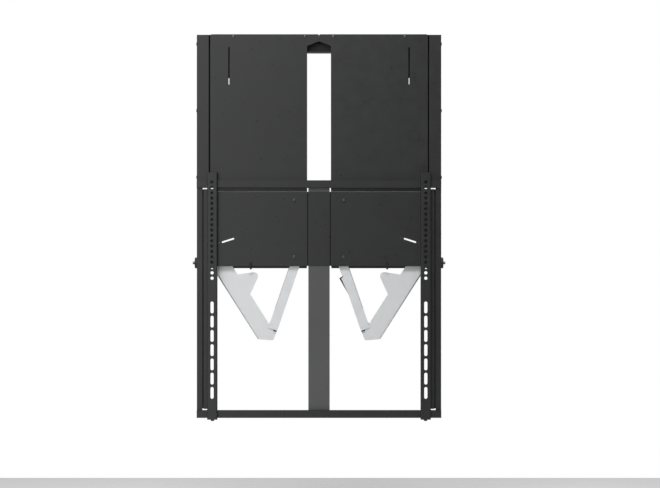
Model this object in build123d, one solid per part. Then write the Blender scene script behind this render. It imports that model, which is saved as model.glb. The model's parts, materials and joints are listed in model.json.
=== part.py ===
from build123d import *
import math
import os

# Height-adjustable wall mount for a large flat screen, in its lowest position.
# +X is right, +Y points into the wall, +Z is up. The origin is the centre of the
# wall bolts on the wall's surface. A depth is a distance in front of the wall.
# Every piece is modelled on the right side and mirrored for the left one.

# Wall unit
unit_half_width = 344.9
unit_top = 329.3
unit_bottom = -330.0
tray_sheet = 2.0
tray_inner_edge = 35.0
tray_lip_depth = 8.0
side_strip_width = 34.6
side_strip_bottom = -100.0
wall_bolt_half_x = 150.0
wall_bolt_half_z = 250.0
wall_bolt_radius = 5.5
window_inset = 12.9
window_width = 36.0
window_top = -90.0
window_height = 47.0
tray_bend_radius = 1.5

# Covers
cover_face = 63.5
cover_sheet = 1.6
cover_bottom = -111.3
cover_inner_edge = 33.5
cover_fold = 5.0
cover_top_flange = 32.0
cover_centre_gap = 0.2
cover_notch = 2.6
cover_bend_radius = 1.5
cover_cut_width = 15.9
cover_cut_bottom = -79.0
cover_shoulder_run = 7.0
cover_shoulder_drop = 1.5
peak_drop = 18.2
shoulder_drop = 31.2
seam_width = 2.4
level_slot_inset = 90.8
level_slot_width = 3.8
level_slot_top = 294.5
level_slot_bottom = 188.8
cover_screw_z = 324.0
cover_screw_inner_x = 39.5
cover_screw_inset = 102.9
screw_lip_height = 12.0

# Lower plates and the bridge between them
plate_sheet = 1.8
plate_gap = 0.6
plate_top = -111.6
plate_bottom = -323.9
plate_inset = 0.5
plate_top_fold = 4.1
plate_bend_radius = 2.4
plate_side_bottom = -253.0
plate_foot_width = 12.0
plate_foot_height = 26.0
plate_peg_inset = 152.6
plate_peg_radius = 3.0
plate_peg_sink = 0.4
plate_peg_top = -313.0
plate_peg_bottom = -332.5
sight_slot_inset = 88.4
sight_slot_z = -250.9
sight_slot_length = 36.5
sight_slot_width = 4.4
sight_slot_angle = 17.7
sight_window_width = 44.0
sight_window_height = 30.0
plate_screw_x = 70.0
plate_screw_top_z = -137.0
plate_screw_pitch = 160.7
bridge_joggle_inner = 30.4
bridge_joggle_outer = 33.2
bridge_reach = 84.0
bridge_fold_gap = 0.3
bridge_bottom = -322.8

# Top tie channel
tie_half_width = 150.0
tie_bottom = 281.7
tie_depth = 45.0

# Screws
screw_head_radius = 4.5
screw_head_height = 2.5
screw_shank_radius = 2.0
screw_hole_clearance = 0.15
flat_head_height = 1.2
screw_reach = 5.5
head_round_share = 0.6
side_screw_radius = 5.0
side_screw_height = 3.0
side_screw_shank = 2.5
side_screw_round_share = 0.7
side_screw_depth = 35.0
side_screw_top_z = 305.8
side_screw_pitch = 188.95
side_screw_count = 3

# Carriage
travel = 400.0
carriage_inset = 0.5
strip_gap = 1.0
frame_sheet = 1.5
bar_depth = 11.5
bar_height = 21.7
bar_bend_radius = 2.8
bar_ear_width = 29.4
bar_ear_inner_rise = 2.5
bar_ear_outer_rise = 10.0
top_bar_top = -81.5
bottom_bar_bottom = -750.9
outer_strip_width = 15.6
outer_strip_rise = 2.0
centre_strip_half_width = 30.1
profile_sheet = 1.6
profile_end_gap = 3.0
profile_front_width = 17.3
profile_tab_width = 5.3
profile_web_depth = 20.0
profile_leg_depth = 27.6
frame_end_inset = 2.0

# Ball slides
slide_sheet = 1.6
slide_back = 12.0
slide_front = 58.0
slide_top = 320.0
slide_bottom = -325.0
slide_lip = 10.5
slide_room = 12.5
inner_member_flange = 8.5
ball_radius = 2.4
ball_clearance = 0.1
ball_count = 4
cage_sheet = 0.8
cage_top = -110.0
cage_length = 195.0
cage_gap = 0.8
cage_lip = 6.9

# Arms, in the lowest position
lever_pivot_inset = 44.9
lever_pivot_z = -285.0
link_pivot = (50.0, -267.0)
lever_reach = 268.9
arm_slack = 18.84
apex_offset = 35.1
lever_front = 44.0
lever_sheet = 4.0
lever_width = 50.0
lever_flange_depth = 17.0
lever_flange_sheet = 2.5
lever_bend_radius = 4.0
lever_corner_reach = 275.0
lever_toe_reach = 300.0
lever_toe_rise = 10.0
lever_toe_radius = 7.0
lever_heel_reach = 281.0
lever_heel_rise = 30.0
lever_heel_radius = 7.0
lever_eye_radius = 12.5
lobe_start = 90.0
lobe_end = 156.1
lobe_reach = 118.9
lobe_rise = 60.8
lobe_radius = 12.0
lug_start = 28.0
lug_end = 56.0
lug_radius = 9.0
spring_pin_reach = 61.1
spring_pin_rise = 51.2
pivot_radius = 6.0
running_clearance = 0.05
bush_radius = 9.0
post_radius = 9.5
post_foot_radius = 16.0
post_head_radius = 8.0
post_head_height = 1.6
side_clearance = 0.2
boss_radius = 9.0
open_pivot_gap = 0.5
link_gap = 3.0
link_sheet = 3.0
link_width = 27.0
link_tail = 11.5
link_flange_depth = 6.0
link_flange_sheet = 2.0
link_flange_start = 46.0
link_bend_radius = 2.0
link_lip_length = 11.0
link_lip_height = 3.0
link_pin_radius = 5.0
link_pin_head_radius = 8.0
link_pin_head_height = 1.5
rivet_head_height = 2.0
bracket_sheet = 2.0
bracket_gap = 1.5
bracket_web_x = 26.0
bracket_foot_x = 10.0
bracket_half_height = 25.0
bracket_eye_radius = 15.0
catch_start = 99.1
catch_corner_at = 148.7
catch_corner_rise = 9.5
catch_top_at = 151.3
catch_top_sink = 1.2
catch_overlap = 4.0
catch_cap_width = 2.4
catch_edge_width = 4.6
catch_sheet = 2.0

# Springs and tension adjusters
spring_radius = 16.0
spring_depth = 21.0
spring_top_inset = 119.9
spring_top_z = 199.0
spring_loop_radius = 10.5
spring_loop_sheet = 5.0
spring_loop_clearance = 0.4
spring_neck = 36.0
spring_neck_width = 4.5
spring_pin_radius = 5.0
spring_pin_head_radius = 8.0
spring_pin_back = 9.0
spring_pin_head_height = 2.5
spindle_inset = 152.9
spindle_depth = 54.5
spindle_radius = 4.0
spindle_top = 322.0
spindle_bottom = 166.0
hexagon_height = 8.0
key_hole_radius = 8.0
collar_radius = 7.0
collar_height = 5.0
bearing_half_width = 10.0
upper_bearing_bottom = 298.0
lower_bearing_bottom = 170.0
bearing_sheet = 4.0
nut_half_width = 11.0
nut_half_depth = 4.2
crosshead_bottom = 190.0
crosshead_height = 18.0
crosshead_back = 43.0
crosshead_sheet = 6.0
crosshead_reach = 13.9
indicator_width = 2.4
indicator_height = 17.6
indicator_reach = 0.5

# Brakes
brake_z = -314.6
brake_depth = 35.0
brake_disc_radius = 15.5
brake_disc_height = 7.2
brake_edge_radius = 2.6
brake_stud_radius = 4.0
brake_stud_reach = 13.0
brake_tip_gap = 0.6

# Uprights
upright_inset = 44.4
upright_width = 28.0
upright_sheet = 2.0
upright_front = 95.0
upright_back = 70.0
upright_rise = 21.5
upright_overhang = 3.5
upright_corner = 5.0
upright_bend_radius = 1.8
display_hole_radius = 4.5
display_hole_drop = 27.0
display_hole_pitch = 15.0
display_hole_count = 19
display_slot_length = 33.0
display_slot_drop = 379.0
display_slot_pitch = 40.0
display_slot_count = 7
hook_depth = 14.8
hook_seat = 0.1
hook_clearance = 0.5
notch_clearance = 2.0
lock_screw_depth = 74.0
lock_head_radius = 4.75
lock_head_height = 5.0
lock_head_chamfer = 0.8
lock_shank_radius = 2.5
lock_tip_gap = 0.3

# Positions that follow from the sizes above
cover_outer_edge = unit_half_width - side_strip_width - seam_width
plate_outer_edge = cover_outer_edge - plate_inset
carriage_half_width = unit_half_width - carriage_inset
upright_centre = carriage_half_width - upright_inset
peak_height = unit_top - peak_drop
shoulder_height = unit_top - shoulder_drop
cover_screw_outer_x = unit_half_width - cover_screw_inset
level_slot_x = unit_half_width - level_slot_inset
plate_peg_x = unit_half_width - plate_peg_inset
sight_slot_x = unit_half_width - sight_slot_inset
spindle_x = unit_half_width - spindle_inset
spring_top = (unit_half_width - spring_top_inset, spring_top_z)
crosshead_end = level_slot_x + crosshead_reach
cover_back = cover_face - cover_sheet
side_wall = unit_half_width - tray_sheet
profile_x = cover_outer_edge + (seam_width - profile_sheet) / 2
side_strip_edge = cover_outer_edge + seam_width
frame_back = cover_face + strip_gap
bar_back = frame_back + frame_sheet
bar_front = bar_back + bar_depth
top_bar_bottom = top_bar_top - bar_height
bottom_bar_top = bottom_bar_bottom + bar_height
upright_top = top_bar_top + upright_rise
upright_bottom = bottom_bar_bottom - upright_overhang
display_hole_top = upright_top - display_hole_drop
display_slot_top = upright_top - display_slot_drop
plate_back = bar_back + plate_gap
plate_front = plate_back + plate_sheet
profile_back = frame_back + frame_sheet - profile_web_depth
profile_top = top_bar_bottom - profile_end_gap
profile_bottom = bottom_bar_top + profile_end_gap
slide_outer_back = side_wall - slide_sheet
slide_inner_face = side_wall - slide_room
window_outer_edge = unit_half_width - window_inset
lever_pivot = (unit_half_width - lever_pivot_inset, lever_pivot_z)
link_edge = -link_width / 2
catch_bottom = (catch_start, link_edge)
catch_corner = (catch_corner_at, link_edge - catch_corner_rise)
catch_top = (catch_top_at, link_edge + catch_top_sink)
raised_span = math.dist(lever_pivot, (link_pivot[0], link_pivot[1] + travel))
link_reach = raised_span + arm_slack - lever_reach
lever_back = lever_front - lever_sheet
link_back = lever_front + link_gap
link_front = link_back + link_sheet
bracket_back = link_front + bracket_gap
bracket_front = bracket_back + bracket_sheet


def block(x_from, x_to, depth_from, depth_to, z_from, z_to):
    """A box between two places along each axis, with depths measured from the wall."""
    size = Box(x_to - x_from, depth_to - depth_from, z_to - z_from)
    return Pos((x_from + x_to) / 2, -(depth_from + depth_to) / 2, (z_from + z_to) / 2) * size


def rod(x, z, radius, depth_from, depth_to):
    """A round bar square to the wall."""
    bar = Rot(90, 0, 0) * Cylinder(radius, depth_to - depth_from)
    return Pos(x, -(depth_from + depth_to) / 2, z) * bar


def side_rod(depth, z, radius, x_from, x_to):
    """A round bar along X."""
    bar = Rot(0, 90, 0) * Cylinder(radius, x_to - x_from)
    return Pos((x_from + x_to) / 2, -depth, z) * bar


def post(x, depth, radius, z_from, z_to):
    """A round bar along Z."""
    return Pos(x, -depth, (z_from + z_to) / 2) * Cylinder(radius, z_to - z_from)


def polygon(points):
    return make_face(Polyline(points, close=True))


def flat(sketch, depth_from, depth_to):
    """A sheet parallel to the wall, from a sketch in X and Z."""
    return extrude(Plane.XZ.offset(depth_from) * sketch, depth_to - depth_from)


def slot(length, width, angle=0.0):
    return Rot(0, 0, angle) * SlotOverall(length, width)


def arm_plane(start, end, offset):
    """A plane at an arm's rear pivot whose x runs along the arm and whose z points to the wall.

    The arm's other pivot then lies the given offset above the x axis.
    """
    reach = math.dist(start, end)
    along = ((end[0] - start[0]) / reach, (end[1] - start[1]) / reach)
    across = (along[1], -along[0])
    turn = math.asin(offset / reach)
    x_dir = tuple(a * math.cos(turn) - b * math.sin(turn) for a, b in zip(along, across))
    return Plane(origin=(start[0], 0, start[1]), x_dir=(x_dir[0], 0, x_dir[1]), z_dir=(0, 1, 0))


def arm_sheet(plane, sketch, depth_front, depth_back):
    """A sheet drawn in an arm's plane, between two depths."""
    return extrude(plane.offset(-depth_front) * sketch, depth_front - depth_back)


def round_bend(arm, x_from, x_to, edge, front, radius):
    """Rounds the front of the bend that runs along an arm, at the given distance from its axis."""
    outwards = math.copysign(1, edge)
    middle = (x_from + x_to) / 2
    size = radius + 1
    place = Pos(middle, edge + outwards * (1 - size / 2), size / 2 - 1 - front)
    corner = place * Box(x_to - x_from, size, size)
    inside = Pos(middle, edge - outwards * radius, radius - front) * Rot(0, 90, 0)
    return arm - (corner - inside * Cylinder(radius, x_to - x_from))


def arms_meet(lift):
    """The place where lever and link meet when the carriage is raised by lift."""
    raised = (link_pivot[0], link_pivot[1] + lift)
    span = math.dist(lever_pivot, raised)
    towards = math.atan2(raised[1] - lever_pivot[1], raised[0] - lever_pivot[0])
    cosine = (lever_reach**2 + span**2 - link_reach**2) / (2 * lever_reach * span)
    angle = towards + math.acos(cosine)
    x = lever_pivot[0] + lever_reach * math.cos(angle)
    return (x, lever_pivot[1] + lever_reach * math.sin(angle))


apex = arms_meet(0.0)
lever_plane = arm_plane(lever_pivot, apex, apex_offset)
link_plane = arm_plane(apex, link_pivot, 0.0)
apex_along = math.sqrt(lever_reach**2 - apex_offset**2)
spring_pin_at = lever_plane.from_local_coords(Vector(spring_pin_reach, spring_pin_rise, 0))
spring_bottom = (spring_pin_at.X, spring_pin_at.Z)
side_screw_heights = [side_screw_top_z - i * side_screw_pitch for i in range(side_screw_count)]
plate_screw_heights = [plate_screw_top_z, plate_screw_top_z - plate_screw_pitch]
cover_screw_places = [cover_screw_inner_x, cover_screw_outer_x]


def housing():
    """Open sheet tray: back panel, side wall, top wall, side strip and stiffening lips."""
    wall = unit_half_width
    back = block(tray_inner_edge, wall, 0, tray_sheet, unit_bottom, unit_top)
    side = block(side_wall, wall, 0, cover_back, unit_bottom, unit_top)
    top = block(tray_inner_edge, wall, 0, cover_back, unit_top - tray_sheet, unit_top)
    lip_edge = tray_inner_edge + tray_sheet
    inner_lip = block(tray_inner_edge, lip_edge, 0, tray_lip_depth, unit_bottom, tie_bottom)
    bottom_lip = block(tray_inner_edge, wall, 0, tray_lip_depth, unit_bottom, unit_bottom + tray_sheet)
    screw_lip = block(
        lip_edge,
        cover_outer_edge - cover_sheet - strip_gap,
        cover_back - cover_sheet,
        cover_back,
        unit_top - tray_sheet - screw_lip_height,
        unit_top,
    )
    strip = block(side_strip_edge, wall, cover_back, cover_face, side_strip_bottom, unit_top)
    strip = fillet(strip.edges().filter_by(Axis.Z).group_by(Axis.Y)[0], tray_bend_radius)
    tray = back + side + top + inner_lip + bottom_lip + screw_lip + strip
    windows = block(
        window_outer_edge - window_width,
        window_outer_edge,
        -1,
        tray_sheet + 1,
        window_top - window_height,
        window_top,
    )
    windows += Pos(sight_slot_x, 0, sight_slot_z) * Box(
        sight_window_width, 3 * tray_sheet, sight_window_height
    )
    tray -= windows
    for z in (wall_bolt_half_z, -wall_bolt_half_z):
        tray -= rod(wall_bolt_half_x, z, wall_bolt_radius, -1, tray_sheet + 1)
    for z in side_screw_heights:
        hole = side_screw_shank + screw_hole_clearance
        tray -= side_rod(side_screw_depth, z, hole, side_wall - 1, wall + 1)
    for x in cover_screw_places:
        hole = screw_shank_radius + screw_hole_clearance
        tray -= rod(x, cover_screw_z, hole, cover_back - 2 * cover_sheet, cover_back + 1)
    tray -= post(spindle_x, spindle_depth, key_hole_radius, unit_top - tray_sheet - 1, unit_top + 1)
    hole = brake_stud_radius + running_clearance
    return tray - side_rod(brake_depth, brake_z, hole, side_wall - 1, wall + 1)


def cover():
    """Folded front cover with the house-shaped cut-out, level slot and screw holes."""
    top = unit_top + cover_sheet
    cut_edge = cover_outer_edge - cover_cut_width
    points = [
        (cover_centre_gap, peak_height),
        (cover_inner_edge, shoulder_height),
        (cover_inner_edge, cover_bottom),
        (cut_edge, cover_bottom),
        (cut_edge, cover_cut_bottom),
        (cover_outer_edge, cover_cut_bottom),
        (cover_outer_edge, top - cover_shoulder_drop),
        (cover_outer_edge - cover_shoulder_run, top),
        (cover_centre_gap + cover_notch, top),
        (cover_centre_gap, top - cover_notch),
    ]
    shell = flat(polygon(points), cover_back, cover_face)
    outer_edges = shell.edges().filter_by(Axis.Z).group_by(Axis.X)[-1]
    shell = fillet(outer_edges.sort_by(Axis.Y)[0], cover_bend_radius)
    flange_end = cover_outer_edge - cover_shoulder_run
    shell += block(tray_inner_edge, flange_end, cover_back - cover_top_flange, cover_back, unit_top, top)
    shell += block(
        cover_outer_edge - cover_sheet, cover_outer_edge, tray_sheet, cover_back,
        cover_cut_bottom, unit_top - tray_sheet,
    )
    shell += block(
        cover_inner_edge, cover_inner_edge + cover_sheet, cover_back - cover_fold, cover_back,
        cover_bottom, shoulder_height,
    )
    slot_length = level_slot_top - level_slot_bottom
    slot_centre = (level_slot_top + level_slot_bottom) / 2
    level_slot = Pos(level_slot_x, slot_centre) * slot(slot_length, level_slot_width, 90)
    shell -= flat(level_slot, cover_back - 1, cover_face + 1)
    for x in cover_screw_places:
        hole = screw_shank_radius + screw_hole_clearance
        shell -= rod(x, cover_screw_z, hole, cover_back - 1, cover_face + 1)
    key_hole = post(spindle_x, spindle_depth, key_hole_radius, unit_top - 1, top + 1)
    return shell - (key_hole & block(0, cover_outer_edge, 0, cover_back, unit_top - 1, top + 1))


def lower_plate():
    """Front plate over the lower half of the tray, open at the bottom for the arms."""
    inner = cover_inner_edge
    outer = plate_outer_edge
    plate = block(inner, outer, plate_back, plate_front, plate_bottom, plate_top)
    plate += block(inner, outer, plate_back - plate_top_fold, plate_back, plate_top - plate_sheet, plate_top)
    top_edges = plate.edges().filter_by(Axis.X).group_by(Axis.Z)[-1]
    plate = fillet(top_edges.sort_by(Axis.Y)[0], plate_bend_radius)
    side = outer - plate_sheet
    plate += block(side, outer, tray_sheet, plate_back, plate_side_bottom, plate_top)
    foot_top = plate_side_bottom + plate_foot_height
    foot = block(
        outer - plate_foot_width, outer, tray_sheet, tray_sheet + plate_sheet, plate_side_bottom, foot_top
    )
    plate += foot
    plate += Pos(0, 0, plate_top - foot_top - window_height) * foot
    sight = Pos(sight_slot_x, sight_slot_z) * slot(sight_slot_length, sight_slot_width, -sight_slot_angle)
    plate -= flat(sight, plate_back - 1, plate_front + 1)
    for z in plate_screw_heights:
        hole = screw_shank_radius + screw_hole_clearance
        plate -= rod(plate_screw_x, z, hole, plate_back - 1, plate_front + 1)
    peg_depth = plate_front + plate_peg_radius - plate_peg_sink
    return plate + post(plate_peg_x, peg_depth, plate_peg_radius, plate_peg_bottom, plate_peg_top)


def bridge_plate():
    """Joggled plate that joins the lower plates and leaves room for the centre strip behind it."""
    tab_back = plate_back - plate_sheet
    right = [
        (bridge_joggle_inner, -plate_front),
        (bridge_joggle_outer, -plate_back),
        (bridge_reach, -plate_back),
        (bridge_reach, -tab_back),
        (bridge_joggle_outer, -tab_back),
        (bridge_joggle_inner, -plate_back),
    ]
    left = [(-x, y) for x, y in reversed(right)]
    profile = Plane.XY.offset(bridge_bottom) * polygon(right + left)
    bridge_top = plate_top - plate_sheet - bridge_fold_gap
    bridge = extrude(profile, bridge_top - bridge_bottom)
    for x in (-plate_screw_x, plate_screw_x):
        for z in plate_screw_heights:
            hole = screw_shank_radius + screw_hole_clearance
            bridge -= rod(x, z, hole, tab_back - 1, plate_front + 1)
    return bridge


def top_tie():
    """Channel across both back panels, seen through the cut-out of the covers."""
    top = unit_top - tray_sheet
    back = tray_sheet
    tie = block(-tie_half_width, tie_half_width, back, back + tray_sheet, tie_bottom, top)
    tie += block(-tie_half_width, tie_half_width, back, tie_depth, tie_bottom, tie_bottom + tray_sheet)
    return tie + block(-tie_half_width, tie_half_width, back, tie_depth, top - tray_sheet, top)


def front_screw(x, z, face, head_height):
    """Pan head screw into a plate whose front is at the given depth."""
    head = rod(x, z, screw_head_radius, face, face + head_height)
    head = fillet(head.edges().group_by(Axis.Y)[0], head_height * head_round_share)
    head += rod(x, z, screw_shank_radius, face - screw_reach, face)
    return head


def cover_screws():
    places = [side * x for side in (-1, 1) for x in cover_screw_places]
    return [front_screw(x, cover_screw_z, cover_face, screw_head_height) for x in places]


def plate_screws():
    places = [(side * plate_screw_x, z) for side in (-1, 1) for z in plate_screw_heights]
    return [front_screw(x, z, plate_front, flat_head_height) for x, z in places]


def side_screws():
    """Button head screws that hold the outer members of the slides to the side walls."""
    screws = []
    for z in side_screw_heights:
        wall = unit_half_width
        head = side_rod(side_screw_depth, z, side_screw_radius, wall, wall + side_screw_height)
        head = fillet(head.edges().group_by(Axis.X)[-1], side_screw_height * side_screw_round_share)
        head += side_rod(side_screw_depth, z, side_screw_shank, slide_outer_back, wall)
        screws += [head, mirror(head, about=Plane.YZ)]
    return screws


def slide_outer():
    """Channel of the ball slide on the side wall, open towards the carriage."""
    outer = block(slide_outer_back, side_wall, slide_back, slide_front, slide_bottom, slide_top)
    lip_start = side_wall - slide_lip
    for depth in (slide_back, slide_front - slide_sheet):
        outer += block(lip_start, side_wall, depth, depth + slide_sheet, slide_bottom, slide_top)
    for z in side_screw_heights:
        hole = side_screw_shank + screw_hole_clearance
        outer -= side_rod(side_screw_depth, z, hole, slide_outer_back - 1, side_wall + 1)
    hole = brake_stud_radius + screw_hole_clearance
    return outer - side_rod(brake_depth, brake_z, hole, slide_outer_back - 1, side_wall + 1)


ball_gap = 2 * (ball_radius + ball_clearance)
inner_member_back = slide_back + slide_sheet + ball_gap
inner_member_front = slide_front - slide_sheet - ball_gap


def slide_inner():
    """Channel of the ball slide on the carriage."""
    face = slide_inner_face
    member = block(
        face, face + slide_sheet, inner_member_back, inner_member_front, profile_bottom, profile_top
    )
    for depth in (inner_member_back, inner_member_front - slide_sheet):
        member += block(
            face, face + inner_member_flange, depth, depth + slide_sheet, profile_bottom, profile_top
        )
    return member


def ball_cage():
    """Thin channel that carries two rows of balls between the members of the slide."""
    web_x = slide_outer_back - cage_gap - cage_sheet
    rows = (slide_back + slide_sheet + ball_gap / 2, slide_front - slide_sheet - ball_gap / 2)
    bottom = cage_top - cage_length
    cage = block(web_x, web_x + cage_sheet, rows[0], rows[1], bottom, cage_top)
    ball_x = web_x - cage_lip / 2
    pitch = cage_length / ball_count
    for depth in rows:
        half = cage_sheet / 2
        cage += block(web_x - cage_lip, web_x + cage_sheet, depth - half, depth + half, bottom, cage_top)
        for i in range(ball_count):
            cage += Pos(ball_x, -depth, bottom + (i + 0.5) * pitch) * Sphere(ball_radius)
    return cage


def lever_post():
    """Fixed stepped pin on the back panel that the lever turns on."""
    x, z = lever_pivot
    shoulder = lever_back - side_clearance
    face = lever_front + side_clearance
    pin = rod(x, z, post_foot_radius, tray_sheet, 2 * tray_sheet)
    pin += rod(x, z, post_radius, tray_sheet, shoulder)
    pin += rod(x, z, pivot_radius, shoulder, face)
    return pin + rod(x, z, post_head_radius, face, face + post_head_height)


def spindle_bearing():
    """Bracket on the back panel with two bored ears for the spindle."""
    left = spindle_x - bearing_half_width
    right = spindle_x + bearing_half_width
    top = upper_bearing_bottom + bearing_sheet
    front = spindle_depth + spindle_radius
    bracket = block(left, right, tray_sheet, 2 * tray_sheet, lower_bearing_bottom, top)
    for bottom in (lower_bearing_bottom, upper_bearing_bottom):
        bracket += block(left, right, tray_sheet, front, bottom, bottom + bearing_sheet)
    bore = spindle_radius + running_clearance
    return bracket - post(spindle_x, spindle_depth, bore, unit_bottom, unit_top)


def tension_spindle():
    """Adjusting screw with a thrust collar and a hexagon end under the hole in the top wall."""
    bearing_top = upper_bearing_bottom + bearing_sheet
    thread_top = spindle_top - hexagon_height
    spindle = post(spindle_x, spindle_depth, spindle_radius, spindle_bottom, thread_top)
    spindle += post(spindle_x, spindle_depth, collar_radius, bearing_top, bearing_top + collar_height)
    hexagon = Plane.XY.offset(thread_top) * Pos(spindle_x, -spindle_depth) * RegularPolygon(spindle_radius, 6)
    return spindle + extrude(hexagon, hexagon_height)


def crosshead():
    """Threaded block on the spindle with an arm that pulls the top of the spring."""
    top = crosshead_bottom + crosshead_height
    nut = block(
        spindle_x - nut_half_width, spindle_x + nut_half_width,
        crosshead_back, spindle_depth + nut_half_depth, crosshead_bottom, top,
    )
    arm = block(
        spindle_x, crosshead_end, crosshead_back, crosshead_back + crosshead_sheet, crosshead_bottom, top
    )
    x, z = spring_top
    pin = rod(x, z, spring_pin_radius, spring_pin_back, crosshead_back)
    pin += rod(x, z, spring_pin_head_radius, spring_pin_back, spring_pin_back + spring_pin_head_height)
    bore = post(spindle_x, spindle_depth, spindle_radius + running_clearance, unit_bottom, unit_top)
    return nut + arm + pin - bore


def indicator():
    """Bright tab on the crosshead that shows the spring setting in the slot of the cover."""
    bottom = level_slot_bottom + indicator_reach
    half = indicator_width / 2
    return block(
        level_slot_x - half, level_slot_x + half, crosshead_back + crosshead_sheet,
        cover_face - indicator_reach, bottom, bottom + indicator_height,
    )


def spring():
    """Extension spring as the closed sleeve of its coils, with a flat loop at each end."""
    dx = spring_bottom[0] - spring_top[0]
    dz = spring_bottom[1] - spring_top[1]
    length = math.hypot(dx, dz)
    plane = Plane(origin=(spring_top[0], -spring_depth, spring_top[1]), x_dir=(0, 1, 0), z_dir=(dx, 0, dz))
    sleeve = extrude(plane.offset(spring_neck) * Circle(spring_radius), length - 2 * spring_neck)
    half = spring_loop_sheet / 2
    for x, z in (spring_top, spring_bottom):
        sleeve += rod(x, z, spring_loop_radius, spring_depth - half, spring_depth + half)
    neck = extrude(plane * Rectangle(spring_loop_sheet, spring_neck_width), length)
    sleeve += neck
    for x, z in (spring_top, spring_bottom):
        hole = spring_pin_radius + spring_loop_clearance
        sleeve -= rod(x, z, hole, spring_depth - spring_radius, spring_depth + spring_radius)
    return sleeve


def lever_outline():
    """Straight band from the fixed pivot, with the lobe, the spring's lug and the foot at the link."""
    half = lever_width / 2
    knee = lever_corner_reach - half
    band = polygon([(0, -half), (lever_corner_reach, -half), (knee, half), (0, half)])
    base = polygon([(lobe_start, 0), (lobe_end, 0), (lobe_end, half), (lobe_start, half)])
    lobe = make_hull(base.edges() + (Pos(lobe_reach, lobe_rise) * Circle(lobe_radius)).edges())
    lug_base = polygon([(lug_start, 0), (lug_end, 0), (lug_end, half), (lug_start, half)])
    lug_eye = Pos(spring_pin_reach, spring_pin_rise) * Circle(lug_radius)
    lug = make_hull(lug_base.edges() + lug_eye.edges())
    toe = Pos(lever_toe_reach - lever_toe_radius, lever_toe_rise) * Circle(lever_toe_radius)
    heel = Pos(lever_heel_reach, lever_heel_rise - lever_heel_radius) * Circle(lever_heel_radius)
    eye = Pos(apex_along, apex_offset) * Circle(lever_eye_radius)
    corner = polygon([(knee, -half), (lever_corner_reach, -half), (knee, 0)])
    foot = make_hull(toe.edges() + heel.edges() + eye.edges() + corner.edges())
    return band + Circle(half) + lobe + lug + foot


def lever():
    """Cut and bent arm with a stiffening flange along its outer edge."""
    half = lever_width / 2
    web = arm_sheet(Plane.XY, lever_outline(), lever_front, lever_back)
    flange_line = Pos(lever_corner_reach / 2, lever_flange_sheet / 2 - half)
    flange = flange_line * Rectangle(lever_corner_reach, lever_flange_sheet)
    arm = web + arm_sheet(Plane.XY, flange, lever_front, lever_front - lever_flange_depth)
    arm = round_bend(arm, 0, lever_corner_reach, -half, lever_front, lever_bend_radius)
    boss = Pos(apex_along, apex_offset) * Circle(boss_radius)
    arm += arm_sheet(Plane.XY, boss, link_back - open_pivot_gap, lever_front)
    arm += arm_sheet(Plane.XY, boss, lever_back, lever_back - rivet_head_height)
    arm -= arm_sheet(Plane.XY, Circle(bush_radius), lever_front + 1, lever_back - 1)
    hole = Pos(spring_pin_reach, spring_pin_rise) * Circle(spring_pin_radius)
    arm -= arm_sheet(Plane.XY, hole, lever_front + 1, lever_back - 1)
    return lever_plane.location * arm


def lever_bush():
    x, z = lever_pivot
    bush = rod(x, z, bush_radius, lever_back, lever_front)
    return bush - rod(x, z, pivot_radius + running_clearance, lever_back - 1, lever_front + 1)


def spring_pin():
    """Pin in the lever's hidden lug that carries the lower end of the spring."""
    x, z = spring_bottom
    pin = rod(x, z, spring_pin_radius, spring_pin_back, lever_front)
    return pin + rod(x, z, spring_pin_head_radius, spring_pin_back, spring_pin_back + spring_pin_head_height)


def link():
    """Narrow arm from the lever's foot up to the carriage, flanged along its outer edge."""
    half = link_width / 2
    body = Pos((link_reach - link_tail) / 2, 0) * Rectangle(link_reach + link_tail, link_width)
    body += Pos(link_reach, 0) * Circle(half)
    arm = arm_sheet(Plane.XY, body, link_front, link_back)
    flange_length = link_reach - half - link_flange_start
    flange_middle = link_flange_start + flange_length / 2
    flange = Pos(flange_middle, half - link_flange_sheet / 2) * Rectangle(flange_length, link_flange_sheet)
    arm += arm_sheet(Plane.XY, flange, link_back, link_back - link_flange_depth)
    arm = round_bend(arm, link_flange_start, link_reach - half, half, link_front, link_bend_radius)
    lip_middle = half - link_width + link_lip_length / 2
    lip = Pos(link_lip_height / 2 - link_tail, lip_middle) * Rectangle(link_lip_height, link_lip_length)
    arm += arm_sheet(Plane.XY, lip, link_front + link_lip_height, link_front)
    arm -= arm_sheet(Plane.XY, Circle(link_pin_radius), link_front + 1, link_back - 1)
    arm = link_plane.location * arm
    x, z = link_pivot
    return arm - rod(x, z, link_pin_radius + running_clearance, link_back - 1, link_front + 1)


def link_rivet():
    """Rivet of the joint between link and lever, flush with the front of the link."""
    return rod(*apex, link_pin_radius, link_back, link_front)


def link_tab():
    """Three-cornered tab on the inner edge of the right link, which carries the catch."""
    inside = link_edge + catch_overlap
    points = [catch_corner, catch_top, (catch_top_at, inside), (catch_start, inside), catch_bottom]
    return link_plane.location * arm_sheet(Plane.XY, polygon(points), link_front, link_back)


def link_catch():
    """Small dark edging on the tab, along its free edge and over its top."""
    free_edge = Vector(*catch_bottom) - Vector(*catch_corner)
    cap_edge = Vector(*catch_top) - Vector(*catch_corner)
    down = free_edge.normalized() * catch_cap_width
    across = cap_edge.normalized() * catch_edge_width
    inside = Vector(*catch_corner) + down + across
    below_top = Vector(*catch_top) + down
    points = [catch_corner, catch_top, (below_top.X, below_top.Y), (inside.X, inside.Y), catch_bottom]
    edging = arm_sheet(Plane.XY, polygon(points), link_front + catch_sheet, link_front)
    return link_plane.location * edging


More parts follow.
